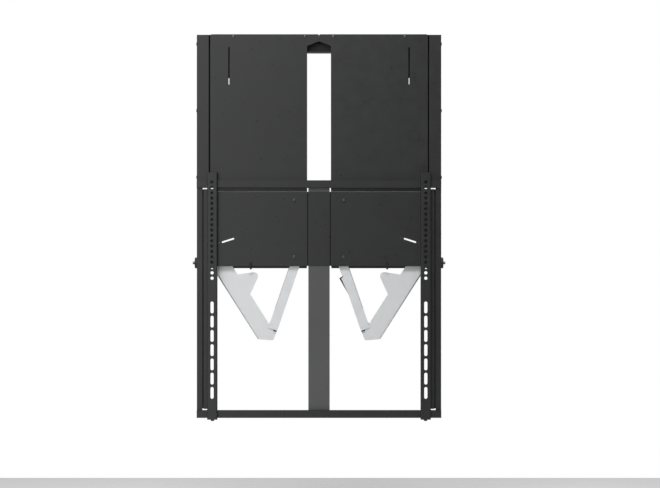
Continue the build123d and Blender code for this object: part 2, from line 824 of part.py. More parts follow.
def link_bracket():
    """Angle on the centre strip that holds the link's upper pivot inside the wall unit."""
    x, z = link_pivot
    low = z - bracket_half_height
    high = z + bracket_half_height
    foot_back = frame_back - bracket_sheet
    bracket = block(bracket_foot_x, bracket_web_x + bracket_sheet, foot_back, frame_back, low, high)
    bracket += block(bracket_web_x, bracket_web_x + bracket_sheet, bracket_back, frame_back, low, high)
    eye = Pos(x, z) * Circle(bracket_eye_radius)
    base = Pos(bracket_web_x + bracket_sheet / 2, z) * Rectangle(bracket_sheet, 2 * bracket_half_height)
    bracket += flat(make_hull(eye.edges() + base.edges()), bracket_back, bracket_front)
    return bracket - rod(x, z, link_pin_radius, bracket_back - 1, bracket_front + 1)


def link_pin():
    """Shoulder pin of the link's upper pivot."""
    x, z = link_pivot
    gap = side_clearance
    pin = rod(x, z, link_pin_radius, link_back - gap, bracket_front)
    back = link_back - gap
    pin += rod(x, z, link_pin_head_radius, back - link_pin_head_height, back)
    pin += rod(x, z, link_pin_head_radius, link_front + gap, bracket_back)
    return pin + rod(x, z, link_pin_head_radius, bracket_front, bracket_front + link_pin_head_height)


def crossbar(bottom):
    """Channel open at the top, which the uprights hook into."""
    half = carriage_half_width
    top = bottom + bar_height
    bar = block(-half, half, bar_back, bar_back + frame_sheet, bottom, top)
    bar += block(-half, half, bar_back, bar_front, bottom, bottom + frame_sheet)
    bar += block(-half, half, bar_front - frame_sheet, bar_front, bottom, top)
    bottom_edges = bar.edges().filter_by(Axis.X).group_by(Axis.Z)[0]
    return fillet(bottom_edges.sort_by(Axis.Y)[0], bar_bend_radius)


def top_crossbar():
    """Upper channel, whose back wall rises in a slanted ear at each end."""
    bar = crossbar(top_bar_bottom)
    end = carriage_half_width
    ear_start = end - bar_ear_width
    points = [
        (ear_start, top_bar_top - frame_sheet),
        (ear_start, top_bar_top + bar_ear_inner_rise),
        (end, top_bar_top + bar_ear_outer_rise),
        (end, top_bar_top - frame_sheet),
    ]
    ear = flat(polygon(points), bar_back, bar_back + frame_sheet)
    return bar + ear + mirror(ear, about=Plane.YZ)


def outer_strip():
    """Stepped strip that closes the carriage at its side, in front of the housing's strip."""
    inner = carriage_half_width - outer_strip_width
    strip = block(inner, carriage_half_width, frame_back, bar_back, bottom_bar_bottom, top_bar_top)
    raised = bar_back + outer_strip_rise
    return strip + block(inner, carriage_half_width, bar_back, raised, bottom_bar_top, top_bar_bottom)


def centre_strip():
    half = centre_strip_half_width
    bottom = bottom_bar_bottom + frame_end_inset
    return block(-half, half, frame_back, bar_back, bottom, top_bar_top - frame_end_inset)


def side_profile():
    """Bent profile that reaches through the seam beside the cover to the ball slide."""
    front_end = profile_x + profile_front_width
    sheet = profile_sheet
    low = profile_bottom
    high = profile_top
    leg_x = slide_inner_face - sheet
    profile = block(profile_x, front_end, frame_back, bar_back, low, high)
    web_front = profile_back + sheet
    profile += block(profile_x, slide_inner_face, profile_back, web_front, low, high)
    profile += block(leg_x, slide_inner_face, web_front - profile_leg_depth, web_front, low, high)
    low = bottom_bar_bottom + frame_end_inset
    high = top_bar_top - frame_end_inset
    profile += block(profile_x, profile_x + sheet, profile_back, bar_back, low, high)
    return profile + block(profile_x, profile_x + profile_tab_width, frame_back, bar_back, low, high)


def brake_knob():
    """Brake disc with a rounded edge on the side wall."""
    wall = unit_half_width
    disc = side_rod(brake_depth, brake_z, brake_disc_radius, wall, wall + brake_disc_height)
    disc = fillet(disc.edges().group_by(Axis.X)[-1], brake_edge_radius)
    return disc - side_rod(brake_depth, brake_z, brake_stud_radius, wall - 1, wall + brake_stud_reach)


def brake_stud():
    """Threaded stud of the brake, which presses on the carriage's slide member."""
    tip = slide_inner_face + slide_sheet + brake_tip_gap
    return side_rod(brake_depth, brake_z, brake_stud_radius, tip, unit_half_width + brake_stud_reach)


def upright_leg():
    """Outline of an upright's side wall, with the hook over the top crossbar and the lower notch."""
    front = -upright_front
    back = -upright_back
    seat = top_bar_top + hook_seat
    hook_front = -(bar_front - frame_sheet - hook_clearance)
    notch = -(bar_front + hook_clearance)
    points = [
        (front, upright_top),
        (back, upright_top),
        (back, top_bar_top - hook_depth),
        (hook_front, top_bar_top - hook_depth),
        (hook_front, seat),
        (notch, seat),
        (notch, top_bar_bottom - notch_clearance),
        (back, top_bar_bottom - notch_clearance),
        (back, bottom_bar_top + notch_clearance),
        (notch, bottom_bar_top + notch_clearance),
        (notch, bottom_bar_bottom - notch_clearance),
        (back, bottom_bar_bottom - notch_clearance),
        (back, upright_bottom),
        (front, upright_bottom),
    ]
    return polygon(points)


def upright():
    """Display upright: a channel with a hole field, long slots and hooked side walls."""
    inner = upright_centre - upright_width / 2
    outer = upright_centre + upright_width / 2
    sheet = upright_sheet
    corner = upright_corner
    points = [
        (inner, upright_top),
        (outer, upright_top),
        (outer, upright_bottom + corner),
        (outer - corner, upright_bottom),
        (inner + corner, upright_bottom),
        (inner, upright_bottom + corner),
    ]
    web = polygon(points)
    for i in range(display_hole_count):
        web -= Pos(upright_centre, display_hole_top - i * display_hole_pitch) * Circle(display_hole_radius)
    for i in range(display_slot_count):
        place = Pos(upright_centre, display_slot_top - i * display_slot_pitch)
        web -= place * slot(display_slot_length, 2 * display_hole_radius, 90)
    channel = flat(web, upright_front - sheet, upright_front)
    for x in (inner, outer - sheet):
        channel += extrude(Plane.YZ.offset(x) * upright_leg(), sheet) - block(
            inner, outer, upright_front - sheet, upright_front, upright_bottom, upright_bottom + corner
        )
    channel += block(
        inner, outer, upright_back, upright_front - sheet, upright_bottom, upright_bottom + sheet
    )
    front_edges = channel.edges().filter_by(Axis.Z).group_by(Axis.Y)[0].group_by(Axis.X)
    channel = fillet(front_edges[0] + front_edges[-1], upright_bend_radius)
    hole = lock_shank_radius + running_clearance
    shank = post(upright_centre, lock_screw_depth, hole, upright_bottom - 1, upright_bottom + sheet + 1)
    return channel - shank


def lock_screw():
    """Knurled screw under the upright that clamps it to the bottom crossbar."""
    head = post(
        upright_centre, lock_screw_depth, lock_head_radius, upright_bottom - lock_head_height, upright_bottom
    )
    head = chamfer(head.edges().group_by(Axis.Z)[0], lock_head_chamfer)
    tip = bottom_bar_bottom - lock_tip_gap
    return head + post(upright_centre, lock_screw_depth, lock_shank_radius, upright_bottom, tip)


def write(name, shape):
    solids = [shape] if not isinstance(shape, list) else shape
    solids = [solid for item in solids for solid in item.solids()]
    result = solids[0] if len(solids) == 1 else Compound(children=solids)
    export_step(result, f"parts/{name}.step")


def write_pair(name, shape):
    """Writes a right-hand piece, and its mirror image as the left-hand one."""
    pieces = shape if isinstance(shape, list) else [shape]
    write("right_" + name, pieces)
    write("left_" + name, [mirror(piece, about=Plane.YZ) for piece in pieces])


os.makedirs("parts", exist_ok=True)

write_pair("housing", housing())
write_pair("cover", cover())
write_pair("lower_plate", lower_plate())
write("bridge_plate", bridge_plate())
write("top_tie", top_tie())
write("cover_screws", cover_screws())
write("plate_screws", plate_screws())
write("side_screws", side_screws())
write_pair("slide_outer", slide_outer())
write_pair("ball_cage", ball_cage())
write_pair("lever_post", lever_post())
write_pair("spindle_bearing", spindle_bearing())
write_pair("spindle", tension_spindle())
write_pair("crosshead", crosshead())
write_pair("indicator", indicator())
write_pair("spring", spring())
write_pair("lever", lever())
write_pair("lever_bush", lever_bush())
write_pair("spring_pin", spring_pin())
write("right_link", link() + link_tab())
write("left_link", mirror(link(), about=Plane.YZ))
write_pair("link_rivet", link_rivet())
write("right_link_catch", link_catch())
write_pair("link_bracket", link_bracket())
write_pair("link_pin", link_pin())
write("top_crossbar", top_crossbar())
write("bottom_crossbar", crossbar(bottom_bar_bottom))
write_pair("outer_strip", outer_strip())
write("centre_strip", centre_strip())
write_pair("side_profile", side_profile())
write_pair("slide_inner", slide_inner())
write_pair("brake_knob", brake_knob())
write_pair("brake_stud", brake_stud())
write_pair("upright", upright())
write_pair("lock_screw", lock_screw())

start_angle = math.atan2(apex[1] - lever_pivot[1], apex[0] - lever_pivot[0])
raised_apex = arms_meet(travel)
end_angle = math.atan2(raised_apex[1] - lever_pivot[1], raised_apex[0] - lever_pivot[0])
link_start = math.atan2(apex[1] - link_pivot[1], apex[0] - link_pivot[0])
link_end = math.atan2(raised_apex[1] - link_pivot[1] - travel, raised_apex[0] - link_pivot[0])
print("apex", apex, "spring bottom", spring_bottom)
print("lever turn", math.degrees(end_angle - start_angle), "link turn", math.degrees(link_end - link_start))
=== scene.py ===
import json
import math
import bpy
from mathutils import Matrix, Vector


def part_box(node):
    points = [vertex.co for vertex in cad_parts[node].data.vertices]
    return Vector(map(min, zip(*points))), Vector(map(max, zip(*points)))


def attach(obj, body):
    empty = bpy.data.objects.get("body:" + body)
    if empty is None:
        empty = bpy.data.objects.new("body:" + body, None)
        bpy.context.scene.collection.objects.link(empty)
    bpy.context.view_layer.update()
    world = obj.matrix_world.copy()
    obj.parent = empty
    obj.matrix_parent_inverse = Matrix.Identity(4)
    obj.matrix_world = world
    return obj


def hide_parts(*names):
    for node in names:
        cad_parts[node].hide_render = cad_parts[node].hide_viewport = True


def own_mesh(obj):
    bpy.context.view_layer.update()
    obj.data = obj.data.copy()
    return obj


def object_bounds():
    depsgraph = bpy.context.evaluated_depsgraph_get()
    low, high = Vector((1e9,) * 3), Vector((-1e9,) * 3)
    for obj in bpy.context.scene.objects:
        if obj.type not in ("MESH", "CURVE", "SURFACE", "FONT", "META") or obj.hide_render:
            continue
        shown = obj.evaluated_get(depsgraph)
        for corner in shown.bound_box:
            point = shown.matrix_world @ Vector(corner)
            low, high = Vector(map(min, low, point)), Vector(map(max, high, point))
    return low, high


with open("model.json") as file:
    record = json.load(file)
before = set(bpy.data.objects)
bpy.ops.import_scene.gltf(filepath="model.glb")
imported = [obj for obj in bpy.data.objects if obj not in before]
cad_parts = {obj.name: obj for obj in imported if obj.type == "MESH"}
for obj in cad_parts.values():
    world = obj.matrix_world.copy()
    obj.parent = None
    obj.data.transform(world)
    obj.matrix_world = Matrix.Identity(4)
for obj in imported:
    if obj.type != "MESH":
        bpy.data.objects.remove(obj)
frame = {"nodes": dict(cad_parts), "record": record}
cadLow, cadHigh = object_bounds()
nodes = frame["nodes"]
mm = 0.001
sides = {"left": -1, "right": 1}
print("frame loaded:", len(nodes), "nodes")

looksAlong = 0.9  # least part of a normal along an axis, for a face that looks that way
looksAcross = 0.1  # most part of it, for a face that looks to the side


# small helpers for modelling, everything is deselected before a primitive is added
def deselectAll():
    if bpy.context.object and bpy.context.object.mode != "OBJECT":
        bpy.ops.object.mode_set(mode="OBJECT")
    bpy.ops.object.select_all(action="DESELECT")


def focus(piece):
    deselectAll()
    piece.select_set(True)
    bpy.context.view_layer.objects.active = piece


def named(name):
    piece = bpy.context.object
    piece.name = name
    piece.data.name = name
    return piece


def pick(piece, kind, test):
    # leaves edit mode on, with only the faces or edges that pass the test selected
    bpy.ops.object.mode_set(mode="EDIT")
    bpy.ops.mesh.select_mode(type=kind)
    bpy.ops.mesh.select_all(action="DESELECT")
    bpy.ops.object.mode_set(mode="OBJECT")
    mesh = piece.data
    items = mesh.polygons if kind == "FACE" else mesh.edges
    for item in items:
        item.select = test(mesh, item)
    bpy.ops.object.mode_set(mode="EDIT")


def pickEdgesAbove(piece, height):
    def above(mesh, edge):
        return all(mesh.vertices[i].co.z > height for i in edge.vertices)

    pick(piece, "EDGE", above)


def settle(piece):
    # place, turn and scale go into the mesh, so the object stands at the origin
    focus(piece)
    bpy.ops.object.transform_apply(location=True, rotation=True, scale=True)
    return piece


def applyModifier(piece, modifier):
    focus(piece)
    bpy.ops.object.modifier_apply(modifier=modifier.name)


def smooth(piece, degrees=35):
    focus(piece)
    bpy.ops.object.shade_smooth_by_angle(angle=math.radians(degrees))


def copied(piece, name, matrix):
    twin = piece.copy()
    twin.data = piece.data.copy()
    twin.name = name
    twin.data.name = name
    twin.data.transform(matrix)
    bpy.context.scene.collection.objects.link(twin)
    return twin


def joined(name, parts):
    deselectAll()
    for part in parts:
        part.select_set(True)
    bpy.context.view_layer.objects.active = parts[0]
    bpy.ops.object.join()
    return named(name)


def outwards(piece, distance=1e-5):
    # doubles are merged and every face is turned to point outwards
    focus(piece)
    bpy.ops.object.mode_set(mode="EDIT")
    bpy.ops.mesh.select_all(action="SELECT")
    bpy.ops.mesh.remove_doubles(threshold=distance)
    bpy.ops.mesh.normals_make_consistent(inside=False)
    bpy.ops.object.mode_set(mode="OBJECT")
    return piece


def removed(piece):
    bpy.data.objects.remove(piece, do_unlink=True)


def middle(node):
    low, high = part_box(node)
    return (low + high) / 2


# shader maths on sockets, written as plain expressions
class Wire:
    def __init__(self, finish, socket):
        self.finish = finish
        self.socket = socket

    def maths(self, operation, first, second):
        sockets = {0: first, 1: second}
        return self.finish.add("ShaderNodeMath", {"operation": operation}, sockets)

    def __add__(self, other):
        return self.maths("ADD", self, other)

    def __radd__(self, other):
        return self.maths("ADD", other, self)

    def __mul__(self, other):
        return self.maths("MULTIPLY", self, other)

    def __rmul__(self, other):
        return self.maths("MULTIPLY", other, self)


class Finish:
    def __init__(self, name, colour, roughness, metallic=0.0, specular=0.5):
        self.material = bpy.data.materials.new(name)
        self.material.use_nodes = True
        self.tree = self.material.node_tree
        self.shader = self.tree.nodes["Principled BSDF"]
        self.shader.inputs["Base Color"].default_value = (*colour, 1)
        self.shader.inputs["Roughness"].default_value = roughness
        self.shader.inputs["Metallic"].default_value = metallic
        self.shader.inputs["Specular IOR Level"].default_value = specular
        place = self.tree.nodes.new("ShaderNodeTexCoord")
        self.place = Wire(self, place.outputs["Object"])

    def add(self, kind, settings=None, sockets=None, output=0):
        node = self.tree.nodes.new(kind)
        for key, value in (settings or {}).items():
            setattr(node, key, value)
        for key, value in (sockets or {}).items():
            if isinstance(value, Wire):
                self.tree.links.new(value.socket, node.inputs[key])
            else:
                node.inputs[key].default_value = value
        return Wire(self, node.outputs[output])

    def feed(self, name, wire):
        self.tree.links.new(wire.socket, self.shader.inputs[name])

    def noise(self, scale, detail=2.0, roughness=0.5, place=None):
        sockets = {
            "Vector": place or self.place,
            "Scale": scale,
            "Detail": detail,
            "Roughness": roughness,
        }
        return self.add("ShaderNodeTexNoise", None, sockets)

    def stretched(self, scale):
        sockets = {"Vector": self.place, "Scale": scale}
        return self.add("ShaderNodeMapping", None, sockets)

    def mixed(self, factor, first, second):
        sockets = {"Factor": factor, "A": (*first, 1), "B": (*second, 1)}
        return self.add("ShaderNodeMix", {"data_type": "RGBA"}, sockets, output=2)  # the colour

    def bump(self, height, strength, distance):
        sockets = {"Height": height, "Strength": strength, "Distance": distance}
        self.feed("Normal", self.add("ShaderNodeBump", None, sockets))


powderSettings = {
    "grain": 900,  # bumps to the metre
    "grainStrength": 0.14,
    "grainDepth": 0.00010,
    "roughness": 0.3,
    "specular": 0.5,
    "clouds": 5,
    "lighter": 1.18,  # shares of the colour in the clouds
    "darker": 0.84,
    "rubbed": 38,  # rubbed places to the metre
    "polish": 0.09,
    "rubbedShare": 0.14,
    "grainShare": 0.04,
}


def powderCoat(name, colour, settings):
    # textured powder coat: orange peel, faint clouds and a few rubbed places
    finish = Finish(name, colour, settings["roughness"], specular=settings["specular"])
    clouds = finish.noise(settings["clouds"], detail=3)
    lighter = [part * settings["lighter"] for part in colour]
    darker = [part * settings["darker"] for part in colour]
    finish.feed("Base Color", finish.mixed(clouds, darker, lighter))
    grain = finish.noise(settings["grain"], detail=2, roughness=0.6)
    rubbed = finish.noise(settings["rubbed"], detail=4, roughness=0.7)
    smoothest = settings["roughness"] - settings["polish"]
    uneven = rubbed * settings["rubbedShare"]
    finish.feed("Roughness", smoothest + uneven + grain * settings["grainShare"])
    finish.bump(grain, settings["grainStrength"], settings["grainDepth"])
    return finish.material


zincSettings = {
    "colour": (0.80, 0.815, 0.82),
    "dull": (0.68, 0.695, 0.705),
    "roughness": 0.42,
    "metallic": 0.8,
    "streaks": 9,
    "streakScale": (55, 55, 4),
    "spangle": 42,
    "streakMix": 0.7,
    "spangleMix": 0.3,
    "polish": 0.08,
    "streakShare": 0.12,
    "spangleShare": 0.06,
    "reliefStrength": 0.12,
    "reliefDepth": 0.00005,
}


def zincPlate(name, settings):
    # zinc plated steel: streaks that run up and down at rest, and a soft spangle
    finish = Finish(name, settings["colour"], settings["roughness"], settings["metallic"])
    place = finish.stretched(settings["streakScale"])
    streaks = finish.noise(settings["streaks"], detail=4, roughness=0.65, place=place)
    spangle = finish.noise(settings["spangle"], detail=2)
    pattern = streaks * settings["streakMix"] + spangle * settings["spangleMix"]
    finish.feed("Base Color", finish.mixed(pattern, settings["dull"], settings["colour"]))
    smoothest = settings["roughness"] - settings["polish"]
    uneven = streaks * settings["streakShare"]
    finish.feed("Roughness", smoothest + uneven + spangle * settings["spangleShare"])
    finish.bump(streaks, settings["reliefStrength"], settings["reliefDepth"])
    return finish.material


metalSettings = {
    "lines": 14,
    "lineScale": (70, 70, 5),
    "film": 22,
    "lighter": 1.15,
    "darker": 0.8,
    "polish": 0.1,
    "lineShare": 0.12,
    "filmShare": 0.08,
    "reliefStrength": 0.1,
    "reliefDepth": 0.00004,
}


def drawnMetal(name, settings, colour, roughness, metallic):
    # rolled or drawn metal with fine upright lines and a film of oil
    finish = Finish(name, colour, roughness, metallic)
    place = finish.stretched(settings["lineScale"])
    lines = finish.noise(settings["lines"], detail=3, roughness=0.6, place=place)
    film = finish.noise(settings["film"], detail=3)
    lighter = [part * settings["lighter"] for part in colour]
    darker = [part * settings["darker"] for part in colour]
    finish.feed("Base Color", finish.mixed(film, darker, lighter))
    smoothest = roughness - settings["polish"]
    uneven = lines * settings["lineShare"]
    finish.feed("Roughness", smoothest + uneven + film * settings["filmShare"])
    finish.bump(lines, settings["reliefStrength"], settings["reliefDepth"])
    return finish.material


plasticSettings = {
    "colour": (0.018, 0.018, 0.018),
    "roughness": 0.5,
    "specular": 0.4,
    "grain": 1500,
    "haze": 30,
    "polish": 0.06,
    "hazeShare": 0.12,
    "reliefStrength": 0.25,
    "reliefDepth": 0.00006,
}


def mouldedPlastic(name, settings):
    # moulded plastic: a fine grain and a faint haze
    finish = Finish(name, settings["colour"], settings["roughness"], specular=settings["specular"])
    grain = finish.noise(settings["grain"], detail=2)
    haze = finish.noise(settings["haze"], detail=3)
    smoothest = settings["roughness"] - settings["polish"]
    finish.feed("Roughness", smoothest + haze * settings["hazeShare"])
    finish.bump(grain, settings["reliefStrength"], settings["reliefDepth"])
    return finish.material


materials = {
    "powder_coat": powderCoat("blackPowderCoat", (0.0165, 0.0170, 0.0174), powderSettings),
    "centre_coat": powderCoat("greyPowderCoat", (0.082, 0.084, 0.083), powderSettings),
    "zinc_steel": zincPlate("zincPlate", zincSettings),
    "slide_steel": drawnMetal(
        "blackSlideSteel", metalSettings, (0.045, 0.046, 0.048), roughness=0.4, metallic=0.7
    ),
    "spring_steel": drawnMetal(
        "oiledSpringSteel", metalSettings, (0.10, 0.10, 0.105), roughness=0.4, metallic=0.85
    ),
    "black_screw": drawnMetal(
        "blackZinc", metalSettings, (0.10, 0.10, 0.105), roughness=0.3, metallic=0.9
    ),
    "black_plastic": mouldedPlastic("mouldedPlastic", plasticSettings),
    "bush_bronze": drawnMetal(
        "oiledBronze", metalSettings, (0.42, 0.30, 0.15), roughness=0.45, metallic=0.95
    ),
}
for part in frame["record"]["subparts"]:
    mesh = nodes[part["node"]].data
    mesh.materials.clear()
    mesh.materials.append(materials[part["material_slot"]])
print("finishes made:", len(materials))


def dress(piece, body, slotName, *replacedNodes):
    piece.data.materials.clear()
    piece.data.materials.append(materials[slotName])
    if replacedNodes:
        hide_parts(*replacedNodes)
    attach(piece, body)


# extension springs: wound wire with a loop round the pin at each end
springSettings = {
    "wireRadius": 2.0 * mm,
    "coilRadius": 13.8 * mm,
    "turns": 74,
    "stepsPerTurn": 18,
    "wireSides": 8,
    "neck": 36 * mm,  # from the pin to the first coil
    "topX": 225.0 * mm,  # upper pin, from the middle
    "loopRadius": 8.8 * mm,
    "loopTurn": math.radians(312),
    "bendRadius": 6 * mm,
    "loopSteps": 22,
    "bendSteps": 7,
    "smoothAngle": 50,
}


def windCoil(name, settings, length):
    # a wire section beside the axis, screwed along Z
    deselectAll()
    bpy.ops.mesh.primitive_circle_add(
        vertices=settings["wireSides"],
        radius=settings["wireRadius"],
        location=(settings["coilRadius"], 0, 0),
        rotation=(math.pi / 2, 0, 0),
    )
    coil = settle(named(name))
    winding = coil.modifiers.new("winding", "SCREW")
    winding.axis = "Z"
    winding.angle = math.tau
    winding.iterations = settings["turns"]
    winding.screw_offset = length / settings["turns"]
    winding.steps = settings["stepsPerTurn"]
    winding.render_steps = settings["stepsPerTurn"]
    applyModifier(coil, winding)
    bpy.ops.object.mode_set(mode="EDIT")
    bpy.ops.mesh.select_mode(type="EDGE")
    bpy.ops.mesh.select_all(action="DESELECT")
    bpy.ops.mesh.select_non_manifold()
    bpy.ops.mesh.fill_holes(sides=settings["wireSides"])
    bpy.ops.object.mode_set(mode="OBJECT")
    return outwards(coil)


def bendHook(name, settings):
    # the pin is at the origin and the coil starts a neck above it
    loop = settings["loopRadius"]
    bend = settings["bendRadius"]
    rise = settings["neck"] - bend - loop
    reach = settings["coilRadius"] - bend
    deselectAll()
    bpy.ops.mesh.primitive_circle_add(
        vertices=settings["wireSides"],
        radius=settings["wireRadius"],
        fill_type="NGON",
        location=(0, 0, loop),
        rotation=(0, math.pi / 2, 0),
    )
    hook = settle(named(name))
    pick(hook, "FACE", lambda mesh, face: True)
    bpy.ops.mesh.spin(
        steps=settings["loopSteps"],
        angle=settings["loopTurn"],
        center=(0, 0, 0),
        axis=(0, 1, 0),
    )
    bpy.ops.object.mode_set(mode="OBJECT")
    deselectAll()
    bpy.ops.mesh.primitive_circle_add(
        vertices=settings["wireSides"],
        radius=settings["wireRadius"],
        fill_type="NGON",
        location=(0, 0, loop),
    )
    neck = settle(named(name + "Neck"))
    pick(neck, "FACE", lambda mesh, face: True)
    bpy.ops.mesh.extrude_region_move(TRANSFORM_OT_translate={"value": (0, 0, rise)})
    bpy.ops.mesh.spin(
        steps=settings["bendSteps"],
        angle=math.pi / 2,
        center=(bend, 0, loop + rise),
        axis=(0, 1, 0),
    )
    bpy.ops.mesh.extrude_region_move(TRANSFORM_OT_translate={"value": (reach, 0, 0)})
    bpy.ops.object.mode_set(mode="OBJECT")
    return joined(name, [outwards(hook), outwards(neck)])


def springPlace(side, topX):
    # from the lower pin in the lever to the upper pin on the crosshead
    lower = middle(side + "_spring_pin")
    upper = middle(side + "_crosshead")
    depth = middle(side + "_spring").y
    return Vector((lower.x, depth, lower.z)), Vector((sides[side] * topX, depth, upper.z))


def buildSprings(settings):
    for side in sides:
        lower, upper = springPlace(side, settings["topX"])
        axis = (upper - lower).normalized()
        across = Vector((0, -1, 0))
        turn = Matrix((across.cross(axis), across, axis)).transposed().to_4x4()
        length = (upper - lower).length
        coil = windCoil("coil", settings, length - 2 * settings["neck"])
        coil.data.transform(Matrix.Translation((0, 0, settings["neck"])))
        lowerHook = bendHook("lowerHook", settings)
        upperHook = bendHook("upperHook", settings)
        flip = Matrix.Rotation(math.pi, 4, "Y") @ Matrix.Rotation(math.pi, 4, "Z")
        upperHook.data.transform(Matrix.Translation((0, 0, length)) @ flip)
        spring = joined(side + "CoilSpring", [coil, lowerHook, upperHook])
        spring.data.transform(Matrix.Translation(lower) @ turn)
        smooth(spring, settings["smoothAngle"])
        dress(spring, "wall_unit", "spring_steel", side + "_spring")
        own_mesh(spring)
    print("springs wound:", settings["turns"], "turns each")


buildSprings(springSettings)


# screws with a driver recess
screwSettings = {
    "panRadius": 4.5 * mm,
    "panHeight": 2.5 * mm,
    "lowHeight": 1.2 * mm,
    "crossLength": 5.2 * mm,
    "crossWidth": 1.0 * mm,
    "crossDepth": 1.5 * mm,
    "buttonRadius": 5.0 * mm,
    "buttonHeight": 3.0 * mm,
    "socketRadius": 1.8 * mm,
    "socketDepth": 1.8 * mm,
    "sides": 40,
    "roundShare": 0.6,  # of a head's height
    "roundSteps": 5,
    "crossShare": 0.8,  # most that the cross takes of it
    "crossTaper": (0.45, 0.7),  # along and across a bar, at its bottom
    "innerX": 39.5 * mm,  # inner cover screws
    "coverTurn": 0.7,  # from one screw to the next, in radians
    "plateTurn": 0.9,
    "sideTurn": 0.5,
}


def cutWith(piece, cutter):
    cut = piece.modifiers.new("cut", "BOOLEAN")
    cut.operation = "DIFFERENCE"
    cut.solver = "EXACT"
    cut.object = cutter
    applyModifier(piece, cut)
    removed(cutter)


def roundHead(name, radius, height, settings):
    # head that stands on z = 0 and is rounded towards +Z
    deselectAll()
    bpy.ops.mesh.primitive_cylinder_add(
        vertices=settings["sides"], radius=radius, depth=height, location=(0, 0, height / 2)
    )
    head = settle(named(name))
    pickEdgesAbove(head, height / 2)
    bpy.ops.mesh.bevel(
        offset=height * settings["roundShare"], segments=settings["roundSteps"], affect="EDGES"
    )
    bpy.ops.object.mode_set(mode="OBJECT")
    return head


def crossHead(name, height, settings):
    head = roundHead(name, settings["panRadius"], height, settings)
    depth = min(settings["crossDepth"], height * settings["crossShare"])
    along, across = settings["crossTaper"]
    for turn, taper in ((0, (along, across, 1)), (math.pi / 2, (across, along, 1))):
        deselectAll()
        bpy.ops.mesh.primitive_cube_add(size=1, location=(0, 0, height), rotation=(0, 0, turn))
        bar = named("crossBar")
        bar.scale = (settings["crossLength"], settings["crossWidth"], depth * 2)
        settle(bar)
        pick(bar, "FACE", lambda mesh, face: face.normal.z < -looksAlong)
        bpy.ops.transform.resize(value=taper)
        bpy.ops.object.mode_set(mode="OBJECT")
        cutWith(head, bar)
    return head


def cutSocket(piece, place, settings):
    # hexagon socket, place is in the face that it is cut into
    deselectAll()
    bpy.ops.mesh.primitive_cylinder_add(
        vertices=6,
        radius=settings["socketRadius"],
        depth=settings["socketDepth"] * 2,
        location=place,
    )
    cutWith(piece, settle(named("hexagon")))


def socketHead(name, settings):
    head = roundHead(name, settings["buttonRadius"], settings["buttonHeight"], settings)
    cutSocket(head, (0, 0, settings["buttonHeight"]), settings)
    return head


def setScrew(pattern, name, place, turn, node):
    screw = copied(pattern, name, place @ Matrix.Rotation(turn, 4, "Z"))
    smooth(screw)
    dress(screw, "wall_unit", "black_screw", node)


def buildScrews(settings):
    panHead = crossHead("panHead", settings["panHeight"], settings)
    lowHead = crossHead("lowHead", settings["lowHeight"], settings)
    button = socketHead("button", settings)
    toRoom = Matrix.Rotation(math.pi / 2, 4, "X")
    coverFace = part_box("left_cover")[0].y
    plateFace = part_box("left_lower_plate")[0].y
    low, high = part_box("cover_screws")
    row = (low.z + high.z) / 2
    outerX = high.x - settings["panRadius"]
    innerX = settings["innerX"]
    for count, x in enumerate((-outerX, -innerX, innerX, outerX), 1):
        place = Matrix.Translation((x, coverFace, row)) @ toRoom
        turn = count * settings["coverTurn"]
        setScrew(panHead, f"coverScrew{count}", place, turn, "cover_screws")
    low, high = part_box("plate_screws")
    head = settings["panRadius"]
    spots = [(x, z) for x in (low.x + head, high.x - head) for z in (low.z + head, high.z - head)]
    for count, (x, z) in enumerate(spots, 1):
        place = Matrix.Translation((x, plateFace, z)) @ toRoom
        turn = count * settings["plateTurn"]
        setScrew(lowHead, f"plateScrew{count}", place, turn, "plate_screws")
    low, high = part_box("side_screws")
    depth = (low.y + high.y) / 2
    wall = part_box("right_housing")[1].x
    top = high.z - settings["buttonRadius"]
    bottom = low.z + settings["buttonRadius"]
    for side, sign in sides.items():
        toSide = Matrix.Rotation(sign * math.pi / 2, 4, "Y")
        for i, z in enumerate((top, (top + bottom) / 2, bottom)):
            place = Matrix.Translation((sign * wall, depth, z)) @ toSide
            turn = i * settings["sideTurn"]
            setScrew(button, f"{side}SideScrew{i + 1}", place, turn, "side_screws")
    for pattern in (panHead, lowHead, button):
        removed(pattern)
    print("screws set")


buildScrews(screwSettings)


# knurled clamping screws under the uprights
clampSettings = {
    "sides": 56,
    "groove": 0.28 * mm,
    "chamfer": 0.7 * mm,
    "chamferSteps": 2,
    "shankRadius": 2.5 * mm,
    "shankSides": 24,
    "tipChamfer": 0.5 * mm,
    "socketRadius": 1.9 * mm,
    "socketDepth": 2.4 * mm,
}


def everySecondSide(mesh, face):
    return abs(face.normal.z) < looksAcross and face.index % 2 == 0


